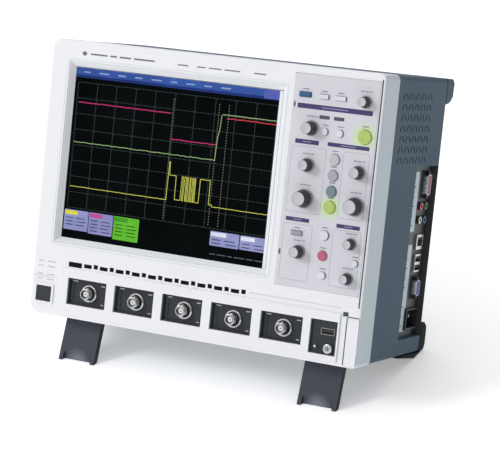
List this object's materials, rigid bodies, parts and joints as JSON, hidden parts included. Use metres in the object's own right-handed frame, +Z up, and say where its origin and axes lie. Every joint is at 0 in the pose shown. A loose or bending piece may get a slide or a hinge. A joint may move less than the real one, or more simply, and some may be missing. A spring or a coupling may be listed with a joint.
{
  "type": "logic analyzer",
  "caption": "Bench logic analyzer with a touch display, coaxial probe inputs, knobs and push buttons, a side connector recess, a rear fan and fold-out front legs.",
  "frame": {"origin": "centre of the bounding box at the floor that the legs and rear feet stand on", "axes": "+X to the right as seen from the front, +Y towards the back, +Z up; the case leans back about 18 degrees on its front legs"},
  "size_m": [0.34, 0.2404, 0.2962],
  "materials": {
    "bezel_white": "fine-grained white moulded plastic",
    "frame_grey": "satin grey moulding",
    "fascia_lavender": "matte printed fascia",
    "window_black": "gloss",
    "glass": "clear anti-glare",
    "display_black": "display panel",
    "module_grey": "satin dark grey",
    "nickel": "nickel plate",
    "insulator_white": "smooth white insulator",
    "steel": "zinc plated",
    "steel_box": "plated sheet",
    "board_green": "solder mask",
    "cover_slate": "fine-grained slate blue plastic",
    "leg_slate": "satin slate plastic",
    "foot_rubber": "matte",
    "connector_black": "satin black",
    "aluminium": "bare",
    "knob_grey": "soft-touch grey",
    "button_white": "smooth",
    "button_blue": "smooth",
    "button_lit_green": "lit from behind",
    "button_lit_red": "lit from behind"
  },
  "bodies": {
    "case": {"acquisition_board": "board_green", "bnc_contacts": "insulator_white", "bnc_jacks": "nickel", "calibrator_terminal": "nickel", "chassis_tray": "steel", "control_board": "board_green", "control_panel": "fascia_lavender", "corner_cover": "bezel_white", "cover_screws": "steel", "disk_drive": "aluminium", "encoder_bodies": "steel", "fan_housing": "connector_black", "front_bezel": "bezel_white", "front_usb_port": "steel", "heat_sink": "aluminium", "indicator_windows": "window_black", "input_bays": "module_grey", "input_panel": "bezel_white", "io_connectors": "connector_black", "io_panel": "steel", "io_sockets": "nickel", "lcd_panel": "display_black", "leg_pins": "steel", "main_board": "board_green", "mains_inlet": "connector_black", "port_panel": "module_grey", "power_supply": "steel_box", "rear_bumpers": "cover_slate", "rear_cover": "cover_slate", "rear_feet": "foot_rubber", "screen_frame": "frame_grey", "touch_glass": "glass"},
    "knob_intensity": {"knob_intensity": "knob_grey"},
    "knob_level": {"knob_level": "knob_grey"},
    "knob_delay": {"knob_delay": "knob_grey"},
    "knob_time": {"knob_time": "knob_grey"},
    "knob_offset": {"knob_offset": "knob_grey"},
    "knob_gain": {"knob_gain": "knob_grey"},
    "knob_cursor": {"knob_cursor": "knob_grey"},
    "knob_zoom_position": {"knob_zoom_position": "knob_grey"},
    "knob_zoom_scale": {"knob_zoom_scale": "knob_grey"},
    "button_auto_setup": {"button_auto_setup": "button_blue"},
    "button_default": {"button_default": "button_white"},
    "button_touch": {"button_touch": "button_white"},
    "button_trigger_auto": {"button_trigger_auto": "button_white"},
    "button_trigger_normal": {"button_trigger_normal": "button_white"},
    "button_run": {"button_run": "button_lit_green"},
    "button_channel_1": {"button_channel_1": "button_white"},
    "button_channel_2": {"button_channel_2": "button_white"},
    "button_channel_3": {"button_channel_3": "button_white"},
    "button_channel_4": {"button_channel_4": "button_lit_green"},
    "button_cursor_type": {"button_cursor_type": "button_white"},
    "button_zoom": {"button_zoom": "button_white"},
    "button_print": {"button_print": "button_lit_red"},
    "button_clear": {"button_clear": "button_white"},
    "button_math": {"button_math": "button_white"},
    "power_button": {"power_button": "module_grey"},
    "leg_left": {"leg_left": "leg_slate"},
    "leg_right": {"leg_right": "leg_slate"},
    "fan_rotor": {"fan_rotor": "connector_black"}
  },
  "joints": [
    {"name": "knob_intensity_turn", "type": "hinge", "parent": "case", "child": "knob_intensity", "pos_m": [0.1528, -0.05325, 0.27356], "axis": [0, 0.9519, -0.3065], "continuous": true},
    {"name": "knob_level_turn", "type": "hinge", "parent": "case", "child": "knob_level", "pos_m": [0.1035, -0.06193, 0.24662], "axis": [0, 0.9519, -0.3065], "continuous": true},
    {"name": "knob_delay_turn", "type": "hinge", "parent": "case", "child": "knob_delay", "pos_m": [0.1035, -0.07195, 0.21549], "axis": [0, 0.9519, -0.3065], "continuous": true},
    {"name": "knob_time_turn", "type": "hinge", "parent": "case", "child": "knob_time", "pos_m": [0.1035, -0.08109, 0.18713], "axis": [0, 0.9519, -0.3065], "continuous": true},
    {"name": "knob_offset_turn", "type": "hinge", "parent": "case", "child": "knob_offset", "pos_m": [0.1528, -0.07226, 0.21454], "axis": [0, 0.9519, -0.3065], "continuous": true},
    {"name": "knob_gain_turn", "type": "hinge", "parent": "case", "child": "knob_gain", "pos_m": [0.1528, -0.08136, 0.18627], "axis": [0, 0.9519, -0.3065], "continuous": true},
    {"name": "knob_cursor_turn", "type": "hinge", "parent": "case", "child": "knob_cursor", "pos_m": [0.1035, -0.09568, 0.14182], "axis": [0, 0.9519, -0.3065], "continuous": true},
    {"name": "knob_zoom_position_turn", "type": "hinge", "parent": "case", "child": "knob_zoom_position", "pos_m": [0.1528, -0.09154, 0.15467], "axis": [0, 0.9519, -0.3065], "continuous": true},
    {"name": "knob_zoom_scale_turn", "type": "hinge", "parent": "case", "child": "knob_zoom_scale", "pos_m": [0.1528, -0.10098, 0.12535], "axis": [0, 0.9519, -0.3065], "continuous": true},
    {"name": "button_auto_setup_press", "type": "slide", "parent": "case", "child": "button_auto_setup", "axis": [0, 0.9519, -0.3065], "range_m": [0, 0.001], "stiffness_N_per_m": 600, "springref_m": -0.0004},
    {"name": "button_default_press", "type": "slide", "parent": "case", "child": "button_default", "axis": [0, 0.9519, -0.3065], "range_m": [0, 0.001], "stiffness_N_per_m": 600, "springref_m": -0.0004},
    {"name": "button_touch_press", "type": "slide", "parent": "case", "child": "button_touch", "axis": [0, 0.9519, -0.3065], "range_m": [0, 0.001], "stiffness_N_per_m": 600, "springref_m": -0.0004},
    {"name": "button_trigger_auto_press", "type": "slide", "parent": "case", "child": "button_trigger_auto", "axis": [0, 0.9519, -0.3065], "range_m": [0, 0.001], "stiffness_N_per_m": 600, "springref_m": -0.0004},
    {"name": "button_trigger_normal_press", "type": "slide", "parent": "case", "child": "button_trigger_normal", "axis": [0, 0.9519, -0.3065], "range_m": [0, 0.001], "stiffness_N_per_m": 600, "springref_m": -0.0004},
    {"name": "button_run_press", "type": "slide", "parent": "case", "child": "button_run", "axis": [0, 0.9519, -0.3065], "range_m": [0, 0.001], "stiffness_N_per_m": 600, "springref_m": -0.0004},
    {"name": "button_channel_1_press", "type": "slide", "parent": "case", "child": "button_channel_1", "axis": [0, 0.9519, -0.3065], "range_m": [0, 0.001], "stiffness_N_per_m": 600, "springref_m": -0.0004},
    {"name": "button_channel_2_press", "type": "slide", "parent": "case", "child": "button_channel_2", "axis": [0, 0.9519, -0.3065], "range_m": [0, 0.001], "stiffness_N_per_m": 600, "springref_m": -0.0004},
    {"name": "button_channel_3_press", "type": "slide", "parent": "case", "child": "button_channel_3", "axis": [0, 0.9519, -0.3065], "range_m": [0, 0.001], "stiffness_N_per_m": 600, "springref_m": -0.0004},
    {"name": "button_channel_4_press", "type": "slide", "parent": "case", "child": "button_channel_4", "axis": [0, 0.9519, -0.3065], "range_m": [0, 0.001], "stiffness_N_per_m": 600, "springref_m": -0.0004},
    {"name": "button_cursor_type_press", "type": "slide", "parent": "case", "child": "button_cursor_type", "axis": [0, 0.9519, -0.3065], "range_m": [0, 0.001], "stiffness_N_per_m": 600, "springref_m": -0.0004},
    {"name": "button_zoom_press", "type": "slide", "parent": "case", "child": "button_zoom", "axis": [0, 0.9519, -0.3065], "range_m": [0, 0.001], "stiffness_N_per_m": 600, "springref_m": -0.0004},
    {"name": "button_print_press", "type": "slide", "parent": "case", "child": "button_print", "axis": [0, 0.9519, -0.3065], "range_m": [0, 0.001], "stiffness_N_per_m": 600, "springref_m": -0.0004},
    {"name": "button_clear_press", "type": "slide", "parent": "case", "child": "button_clear", "axis": [0, 0.9519, -0.3065], "range_m": [0, 0.001], "stiffness_N_per_m": 600, "springref_m": -0.0004},
    {"name": "button_math_press", "type": "slide", "parent": "case", "child": "button_math", "axis": [0, 0.9519, -0.3065], "range_m": [0, 0.001], "stiffness_N_per_m": 600, "springref_m": -0.0004},
    {"name": "power_button_press", "type": "slide", "parent": "case", "child": "power_button", "axis": [0, 0.9519, -0.3065], "range_m": [0, 0.0018], "stiffness_N_per_m": 600, "springref_m": -0.0006},
    {"name": "leg_left_fold", "type": "hinge", "parent": "case", "child": "leg_left", "pos_m": [-0.12635, -0.08425, 0.04191], "axis": [1, 0, 0], "range_deg": [0, 102]},
    {"name": "leg_right_fold", "type": "hinge", "parent": "case", "child": "leg_right", "pos_m": [0.12635, -0.08425, 0.04191], "axis": [1, 0, 0], "range_deg": [0, 102]},
    {"name": "fan_spin", "type": "hinge", "parent": "case", "child": "fan_rotor", "pos_m": [-0.1, 0.05902, 0.14915], "axis": [0, 0.9519, -0.3065], "continuous": true}
  ]
}
